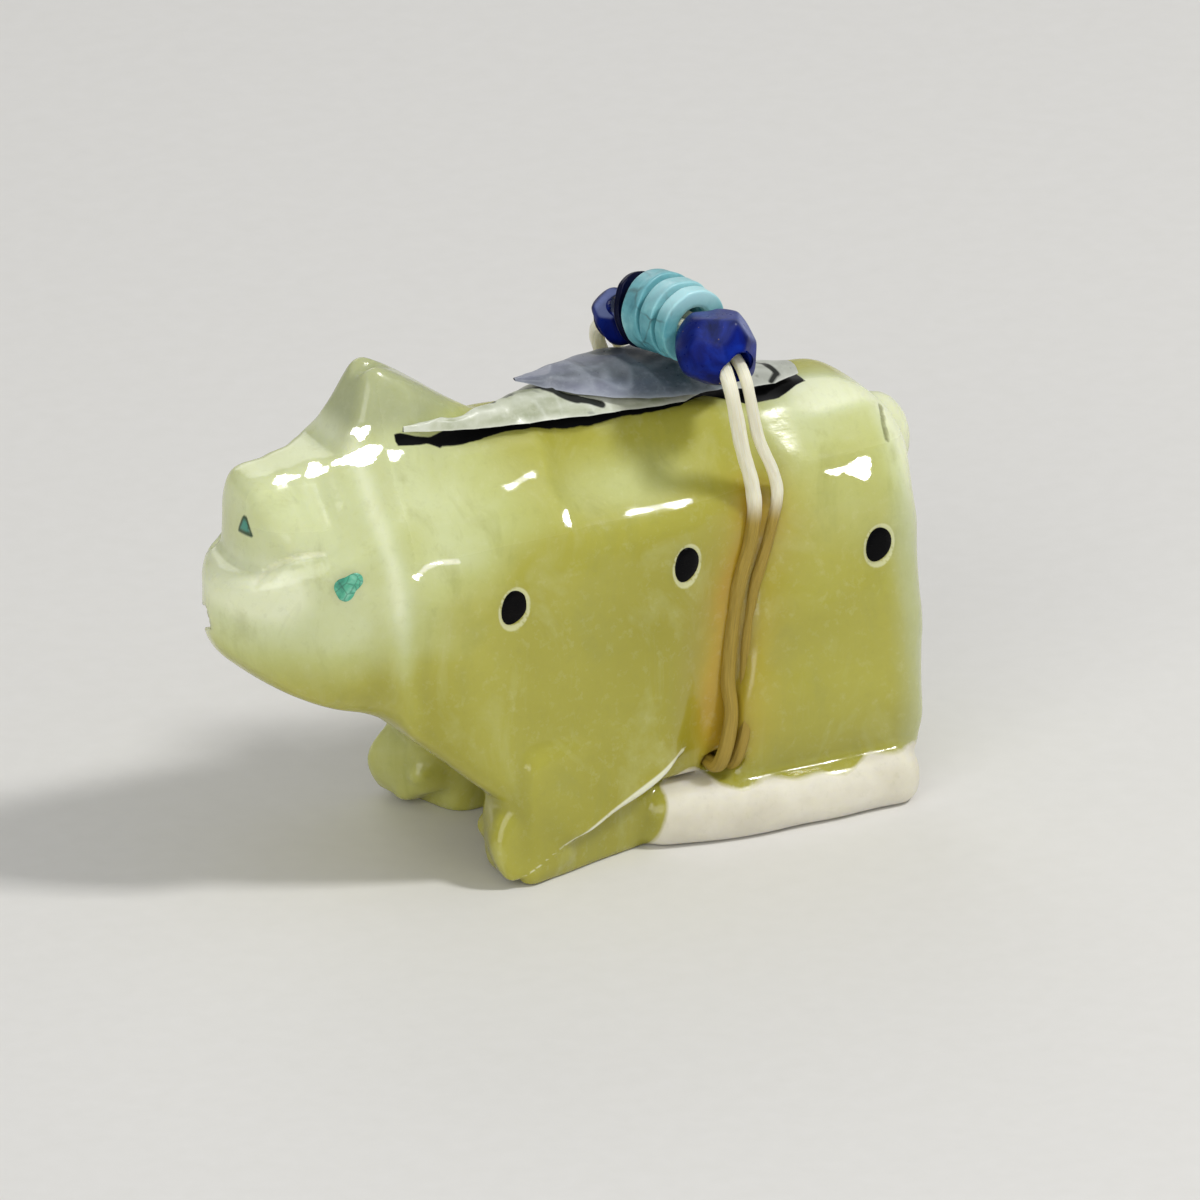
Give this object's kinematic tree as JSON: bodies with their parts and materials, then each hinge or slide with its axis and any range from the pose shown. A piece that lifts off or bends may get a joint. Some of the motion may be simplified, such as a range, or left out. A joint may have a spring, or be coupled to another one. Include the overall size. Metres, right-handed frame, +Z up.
{
  "type": "carved stone animal figurine",
  "caption": "Small carved stone animal with inlaid eyes and side spots, carrying flaked stone points and a row of beads tied on its back.",
  "frame": {"origin": "on the ground, under the middle of the whole object's bounding box", "axes": "+X towards the tail, -Y towards the animal's left side, +Z up from the feet"},
  "size_m": [0.033, 0.0126, 0.0237],
  "materials": {
    "stone": "polished pale yellow-green serpentine with a white zone at the feet",
    "eye": "polished green stone inlay",
    "jet": "polished black jet inlay",
    "pale_flint": "flaked pale grey-green chert",
    "grey_flint": "flaked blue-grey chert",
    "turquoise": "satin turquoise",
    "lapis": "polished deep blue lapis",
    "sinew": "waxed cream sinew"
  },
  "bodies": {
    "root": {"stone_body": "stone", "eye_left": "eye", "eye_right": "eye", "spot_front_left": "jet", "spot_front_right": "jet", "spot_middle_left": "jet", "spot_middle_right": "jet", "spot_rear_left": "jet", "spot_rear_right": "jet", "arrowhead_lower": "pale_flint", "arrowhead_upper": "grey_flint", "bead_far": "lapis", "bead_far_disc": "lapis", "bead_turquoise_1": "turquoise", "bead_turquoise_2": "turquoise", "bead_turquoise_3": "turquoise", "bead_near": "lapis", "sinew_front": "sinew", "sinew_rear": "sinew"}
  },
  "joints": []
}
